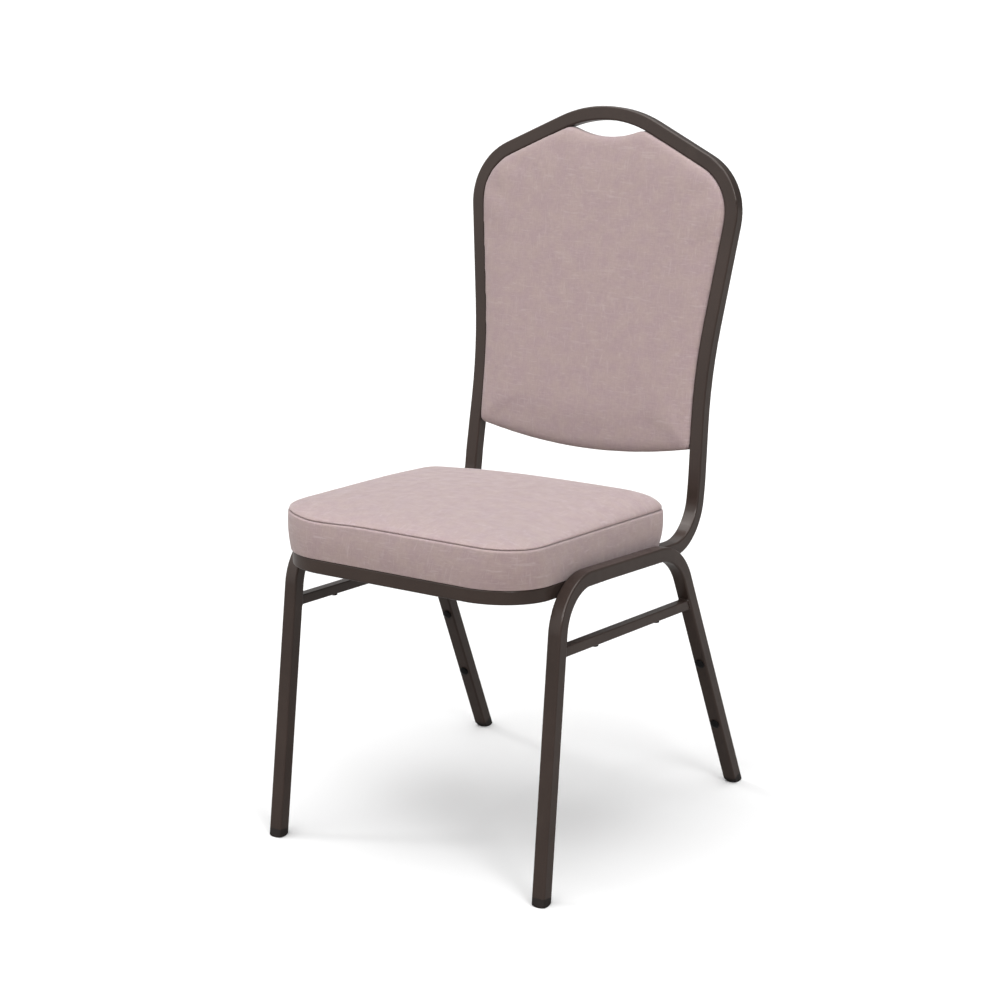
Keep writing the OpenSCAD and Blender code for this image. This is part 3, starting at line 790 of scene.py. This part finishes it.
def rounded_square(half, r, first=0, last=360):
    """Points round a square with rounded corners, from angle first to last in degrees."""
    pts = []
    for deg in range(first, last + 1, 6):
        a = math.radians(deg)
        c, d = math.cos(a), math.sin(a)
        grow = half / max(abs(c), abs(d))
        u, v = c * grow, d * grow
        over_u, over_v = abs(u) - (half - r), abs(v) - (half - r)
        if over_u > 0 and over_v > 0:
            k = r / math.hypot(over_u, over_v)
            u = math.copysign(half - r + over_u * k, u)
            v = math.copysign(half - r + over_v * k, v)
        pts.append((u, v))
    return pts


def stretcher_weld(side, rear):
    """The bead round a stretcher's end, where it meets the face of the front or the rear leg."""
    fall, z0 = STRETCHER_FALL, STRETCHER_Z + ROD / 2 / math.cos(STRETCHER_FALL)
    pts = []
    for u, v in rounded_square(ROD / 2 + 0.3, ROD_R):
        if rear:
            k = math.tan(REAR_LEAN)
            y0 = (FOOT_PITCH - k * (z0 + v * math.cos(fall)) - v * math.sin(fall)) / (1 - k * math.tan(fall))
        else:
            k = math.tan(FRONT_LEAN)
            y0 = TUBE / math.cos(FRONT_LEAN) + k * (z0 + v * math.cos(fall)) - v * math.sin(fall)
            y0 /= 1 + k * math.tan(fall)
        z = z0 - y0 * math.tan(fall) + v * math.cos(fall)
        pts.append(leg_point(side, u, y0 + v * math.sin(fall), z))
    return pts


def cross_rail_weld(side):
    """The bead round the cross rail's end, on its two sides and underneath."""
    half_round = rounded_square(HALF + 0.2, 2.5, 150, 390)
    return [seat_point(side * RAIL_END, RAIL_Y + u, HALF + v) for u, v in half_round]


def seat_line(side, x, y, half, h):
    """A straight bead along the seat rail, half to each side of y."""
    return [seat_point(side * x, y - half, h), seat_point(side * x, y + half, h)]


both = (-1, 1)
beads = [stretcher_weld(side, rear) for side in both for rear in (False, True)]
beads += [cross_rail_weld(side) for side in both]
beads += [seat_line(side, RAIL_END, y, TAB_HALF, TAB_H) for side in both for y in TAB_Y]
beads += [seat_line(side, RAIL_END + TUBE, y, SPACER_HALF, SPACER_H) for side in both for y in SPACER_Y]
welds = sweep("weld_beads", beads, 0.0015, paint, ripple=0.13)
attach(welds, "root")


def staple(x, y, along_x):
    """One wire staple in the dust cover: a flat crown with its two legs up in the board."""
    dx, dy = (5.0, 0.0) if along_x else (0.0, 5.0)
    h = TUBE - 1.1
    across_and_up = ((-1, 5), (-1, 0.5), (-0.9, 0), (0.9, 0), (1, 0.5), (1, 5))
    return [seat_point(x + dx * across, y + dy * across, h + up) for across, up in across_and_up]


def staple_rows(wide=158.0, front=31.0, rear=315.0, gap=36.0):
    """Evenly spaced staples along the dust cover's four sides, clear of its cut corners."""
    rows = []
    run = rear - front - 80
    n = int(run / gap)
    for side in both:
        rows += [staple(side * wide, front + 70 + run * i / n, False) for i in range(n + 1)]
    n = int((2 * wide - 60) / gap)
    for y, margin in ((front, 90.0), (rear, 20.0)):
        rows += [staple(-wide + margin + 2 * (wide - margin) * i / n, y, True) for i in range(n + 1)]
    return rows


staples = sweep("dust_cover_staples", staple_rows(), 0.00055, zinc_plate, sides=6)
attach(staples, "root")


# ---------------------------------------------------------------- stage, light and camera
def tell_rays(tree):
    """Which kind of ray meets a surface: one from the camera, and one from a reflection."""
    path = tree.nodes.new("ShaderNodeLightPath")
    return path.outputs["Is Camera Ray"], path.outputs["Is Glossy Ray"]


def build_floor():
    """A floor that the camera sees as nearly white. It lights the chair and shows in the paint as a darker one,
    so that the frame's tone stays true."""
    size = 60.0
    mat, t, bsdf = new_material("pale_floor")
    floor = make_mesh("floor", [(-size, -size, 0), (size, -size, 0), (size, size, 0), (-size, size, 0)],
                      [(0, 1, 2, 3)], mat)
    from_camera, from_gloss = tell_rays(t)
    cloudy = ramp(t, noise(t, object_coords(t), 3.0), 0.3, 0.7, grey(0.945), grey(0.955))
    unseen = mix(t, from_gloss, (0.475, 0.435, 0.405, 1), (0.30, 0.29, 0.285, 1))
    t.links.new(mix(t, from_camera, unseen, cloudy), bsdf.inputs["Base Color"])
    set_in(bsdf, Roughness=0.9, Specular_IOR_Level=0.1)


def build_sky():
    """A white room that lights the chair faintly, and shows in the paint as one large panel up to the left."""
    world = bpy.data.worlds.new("studio")
    scene.world = world
    world.use_nodes = True
    w = world.node_tree
    background = w.nodes["Background"]
    background.inputs["Color"].default_value = grey(1)
    toward_panel = w.nodes.new("ShaderNodeVectorMath")
    toward_panel.operation = "DOT_PRODUCT"
    w.links.new(w.nodes.new("ShaderNodeTexCoord").outputs["Generated"], toward_panel.inputs[0])
    toward_panel.inputs[1].default_value = (-0.45, -0.35, 0.82)
    panel = ramp(w, toward_panel.outputs["Value"], 0.0, 0.62, grey(0), grey(0.85))
    from_camera, from_gloss = tell_rays(w)
    plain = math_node(w, "ADD", from_camera, 0.14)
    strength = math_node(w, "ADD", math_node(w, "MULTIPLY", from_gloss, panel), plain)
    w.links.new(strength, background.inputs["Strength"])


def build_lights():
    """Suns, each with its strength, its width in degrees and the direction it stands in."""
    for name, energy, angle, toward in (("key", 3.40, 84, (0.06, -0.40, 1.05)),
                                        ("side", 0.92, 20, (0.74, -0.46, 0.46)),
                                        ("rim", 0.30, 8, (-0.55, -0.20, 0.80))):
        sun = bpy.data.lights.new(name, "SUN")
        sun.energy = energy
        sun.angle = math.radians(angle)
        ob = bpy.data.objects.new(name, sun)
        scene.collection.objects.link(ob)
        ob.rotation_mode = "QUATERNION"
        ob.rotation_quaternion = Vector(toward).to_track_quat("Z", "Y")


def build_camera():
    """The photograph's camera: its place in metres, its lens and the way it faces."""
    az, el = math.radians(32.90), math.radians(14.55)
    back = Vector((math.sin(az) * math.cos(el), -math.cos(az) * math.cos(el), math.sin(el)))
    cam = bpy.data.cameras.new("camera")
    cam.lens = 83.747
    cam.sensor_width = 36
    cam.clip_end = 200
    ob = bpy.data.objects.new("camera", cam)
    scene.collection.objects.link(ob)
    ob.location = (1.63275, -2.28692 - Y_MID / 1000, 1.22747)
    ob.rotation_mode = "QUATERNION"
    ob.rotation_quaternion = (-back).to_track_quat("-Z", "Y")
    scene.camera = ob


build_floor()
build_sky()
build_lights()
build_camera()
scene.view_settings.view_transform = "Standard"
